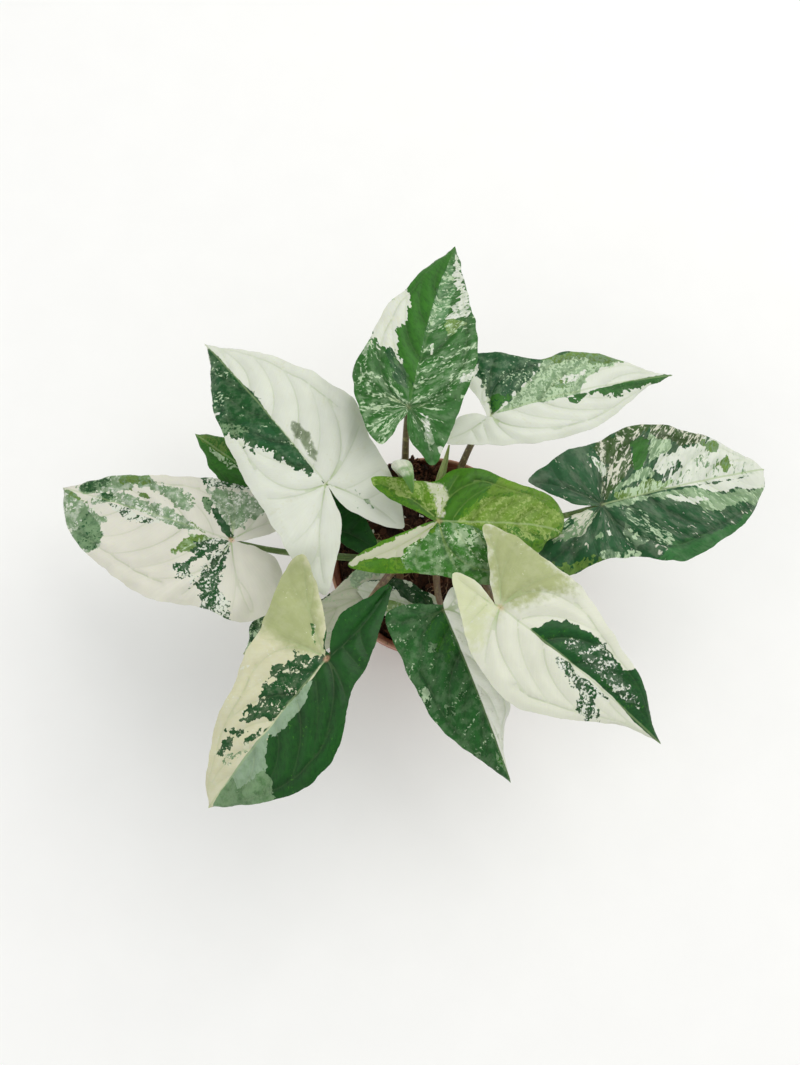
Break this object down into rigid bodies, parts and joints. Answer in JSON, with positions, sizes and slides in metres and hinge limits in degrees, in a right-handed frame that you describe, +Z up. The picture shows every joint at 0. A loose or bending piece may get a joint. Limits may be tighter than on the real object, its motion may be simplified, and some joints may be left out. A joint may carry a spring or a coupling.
{
  "type": "potted arrowhead plant",
  "caption": "Arrowhead plant with green, white and cream variegated leaves on thin stems, in a small round tapered plastic nursery pot full of soil.",
  "frame": {"origin": "centre of the pot's flat foot, on the surface that the pot stands on", "axes": "+Z up along the pot's axis, +X to the picture's right along the widest spread of the leaves, +Y to the picture's top"},
  "size_m": [0.2694, 0.2026, 0.1391],
  "materials": {
    "leaf_mottled": "waxy leaf, mottled green and white",
    "leaf_bright_green": "waxy young leaf, bright yellow-green",
    "leaf_white": "waxy leaf, mostly white with green patches",
    "leaf_cream": "waxy leaf, cream with dark green patches",
    "leaf_dark_green": "waxy leaf, dark green with pale flecks",
    "young_leaf": "young leaf, pale green, not yet open",
    "pot_plastic": "thin terracotta-brown nursery pot plastic, satin",
    "soil": "moist dark peat and bark with white perlite"
  },
  "bodies": {
    "root": {"leaf_top": "leaf_mottled", "leaf_upper_right": "leaf_mottled", "leaf_right": "leaf_mottled", "leaf_centre": "leaf_bright_green", "leaf_upper_left": "leaf_white", "leaf_left": "leaf_white", "leaf_back_left": "leaf_dark_green", "leaf_front_left": "leaf_cream", "leaf_front": "leaf_dark_green", "leaf_front_right": "leaf_cream", "leaf_under": "leaf_white", "leaf_small": "leaf_mottled", "leaf_curl": "young_leaf", "new_spear": "young_leaf", "pot": "pot_plastic", "soil": "soil"}
  },
  "joints": []
}
